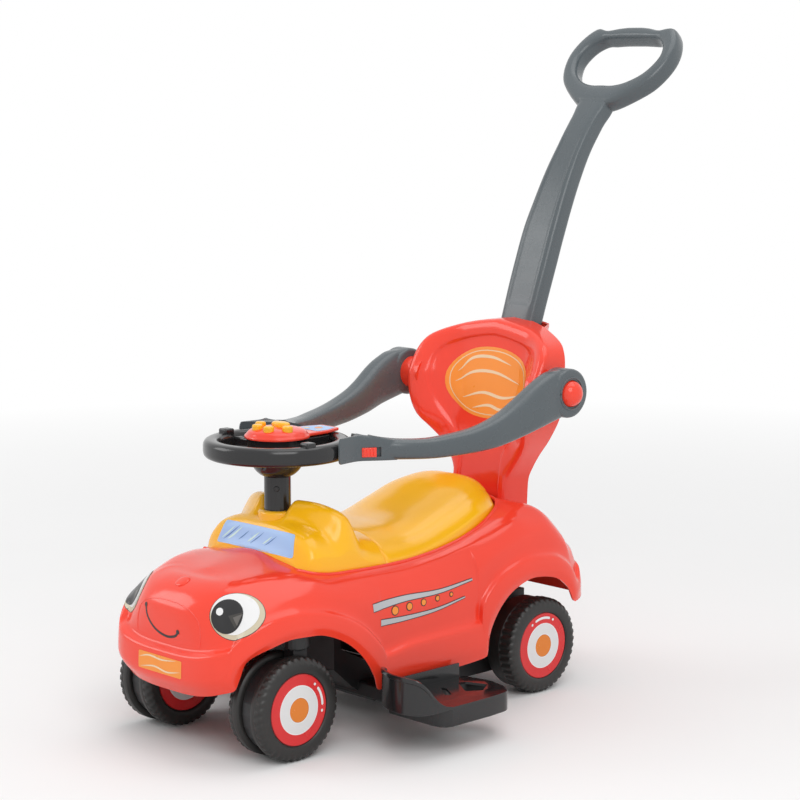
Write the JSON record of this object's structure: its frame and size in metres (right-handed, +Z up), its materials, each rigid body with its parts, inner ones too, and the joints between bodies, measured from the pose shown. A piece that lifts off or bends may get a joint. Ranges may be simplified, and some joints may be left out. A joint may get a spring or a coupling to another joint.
{
  "type": "ride-on push car",
  "caption": "Toddler push car with a car body, swivelling twin-wheel casters, lift-up guard arms, backrest, steering wheel with buttons, footrests and a rear push handle.",
  "frame": {"origin": "on the ground, under the middle of the car's bounding box", "axes": "+X to the car's left, -Y towards its nose, +Z up"},
  "size_m": [0.478, 0.861, 0.8589],
  "materials": {
    "red_plastic": "glossy moulded, coral red",
    "yellow_plastic": "glossy moulded, warm yellow",
    "grey_plastic": "satin moulded, slate grey",
    "black_plastic": "satin moulded, black",
    "wheel_plastic": "blow-moulded, black, satin",
    "wheel_disc": "glossy disc with printed rings",
    "steel": "bright drawn steel"
  },
  "bodies": {
    "root": {"body_shell": "red_plastic", "hood_plug": "red_plastic", "dash_cowl": "yellow_plastic", "inner_deck": "red_plastic", "chassis": "black_plastic", "seat_hinge_pin": "steel", "rear_axle": "steel", "axle_clip_left": "steel", "axle_clip_right": "steel", "backrest_front": "red_plastic", "backrest_rear": "red_plastic", "push_handle": "grey_plastic", "footrest_left": "black_plastic", "footrest_right": "black_plastic", "pivot_pin_left": "steel", "pivot_pin_right": "steel"},
    "seat": {"seat_lid": "yellow_plastic"},
    "steering": {"steering_column": "black_plastic", "column_screw": "steel", "steering_wheel": "black_plastic", "music_pod": "red_plastic"},
    "arm_left": {"guard_arm_left": "grey_plastic"},
    "arm_right": {"guard_arm_right": "grey_plastic"},
    "latch": {"latch_slider": "red_plastic"},
    "pivot_button_left": {"pivot_button_left": "red_plastic"},
    "pivot_button_right": {"pivot_button_right": "red_plastic"},
    "button_front_left": {"button_front_left": "yellow_plastic"},
    "button_front_right": {"button_front_right": "yellow_plastic"},
    "button_left": {"button_left": "yellow_plastic"},
    "button_rear": {"button_rear": "yellow_plastic"},
    "button_right": {"button_right": "yellow_plastic"},
    "caster_left": {"caster_fork_left": "black_plastic", "caster_axle_left": "steel"},
    "front_wheel_outer_left": {"front_wheel_outer_left": "wheel_plastic", "front_cap_outer_left": "wheel_disc"},
    "front_wheel_inner_left": {"front_wheel_inner_left": "wheel_plastic", "front_cap_inner_left": "wheel_disc"},
    "rear_wheel_left": {"rear_wheel_left": "wheel_plastic", "rear_cap_left": "wheel_disc"},
    "caster_right": {"caster_fork_right": "black_plastic", "caster_axle_right": "steel"},
    "front_wheel_outer_right": {"front_wheel_outer_right": "wheel_plastic", "front_cap_outer_right": "wheel_disc"},
    "front_wheel_inner_right": {"front_wheel_inner_right": "wheel_plastic", "front_cap_inner_right": "wheel_disc"},
    "rear_wheel_right": {"rear_wheel_right": "wheel_plastic", "rear_cap_right": "wheel_disc"}
  },
  "joints": [
    {"name": "seat_hinge", "type": "hinge", "parent": "root", "child": "seat", "pos_m": [0, -0.1479, 0.2333], "axis": [1, 0, 0], "range_deg": [0, 55]},
    {"name": "steering_turn", "type": "hinge", "parent": "root", "child": "steering", "pos_m": [0, -0.2445, 0.314], "axis": [0, 0, 1], "range_deg": [-60, 60]},
    {"name": "button_front_left_press", "type": "slide", "parent": "steering", "child": "button_front_left", "axis": [0, 0, -1], "range_m": [0, 0.0015], "stiffness_N_per_m": 250},
    {"name": "button_front_right_press", "type": "slide", "parent": "steering", "child": "button_front_right", "axis": [0, 0, -1], "range_m": [0, 0.0015], "stiffness_N_per_m": 250},
    {"name": "button_left_press", "type": "slide", "parent": "steering", "child": "button_left", "axis": [0, 0, -1], "range_m": [0, 0.0015], "stiffness_N_per_m": 250},
    {"name": "button_rear_press", "type": "slide", "parent": "steering", "child": "button_rear", "axis": [0, 0, -1], "range_m": [0, 0.0015], "stiffness_N_per_m": 250},
    {"name": "button_right_press", "type": "slide", "parent": "steering", "child": "button_right", "axis": [0, 0, -1], "range_m": [0, 0.0015], "stiffness_N_per_m": 250},
    {"name": "guard_arm_left_lift", "type": "hinge", "parent": "root", "child": "arm_left", "pos_m": [0.131, 0.11, 0.396], "axis": [-1, 0, 0], "range_deg": [0, 90]},
    {"name": "pivot_button_left_press", "type": "slide", "parent": "arm_left", "child": "pivot_button_left", "axis": [-1, 0, 0], "range_m": [0, 0.003], "stiffness_N_per_m": 400},
    {"name": "caster_left_swivel", "type": "hinge", "parent": "root", "child": "caster_left", "pos_m": [0.1048, -0.3089, 0.15], "axis": [0, 0, 1], "continuous": true},
    {"name": "front_wheel_outer_left_spin", "type": "hinge", "parent": "caster_left", "child": "front_wheel_outer_left", "pos_m": [0.1048, -0.3289, 0.0625], "axis": [1, 0, 0], "continuous": true},
    {"name": "front_wheel_inner_left_spin", "type": "hinge", "parent": "caster_left", "child": "front_wheel_inner_left", "pos_m": [0.1048, -0.3289, 0.0625], "axis": [1, 0, 0], "continuous": true},
    {"name": "rear_wheel_left_spin", "type": "hinge", "parent": "root", "child": "rear_wheel_left", "pos_m": [0.11, 0.0999, 0.0625], "axis": [1, 0, 0], "continuous": true},
    {"name": "guard_arm_right_lift", "type": "hinge", "parent": "root", "child": "arm_right", "pos_m": [-0.131, 0.11, 0.396], "axis": [-1, 0, 0], "range_deg": [0, 90]},
    {"name": "pivot_button_right_press", "type": "slide", "parent": "arm_right", "child": "pivot_button_right", "axis": [1, 0, 0], "range_m": [0, 0.003], "stiffness_N_per_m": 400},
    {"name": "caster_right_swivel", "type": "hinge", "parent": "root", "child": "caster_right", "pos_m": [-0.1048, -0.3089, 0.15], "axis": [0, 0, 1], "continuous": true},
    {"name": "front_wheel_outer_right_spin", "type": "hinge", "parent": "caster_right", "child": "front_wheel_outer_right", "pos_m": [-0.1048, -0.3289, 0.0625], "axis": [1, 0, 0], "continuous": true},
    {"name": "front_wheel_inner_right_spin", "type": "hinge", "parent": "caster_right", "child": "front_wheel_inner_right", "pos_m": [-0.1048, -0.3289, 0.0625], "axis": [1, 0, 0], "continuous": true},
    {"name": "rear_wheel_right_spin", "type": "hinge", "parent": "root", "child": "rear_wheel_right", "pos_m": [-0.11, 0.0999, 0.0625], "axis": [1, 0, 0], "continuous": true},
    {"name": "latch_slide", "type": "slide", "parent": "arm_left", "child": "latch", "axis": [0.5724, 0.82, 0], "range_m": [0, 0.006]}
  ]
}
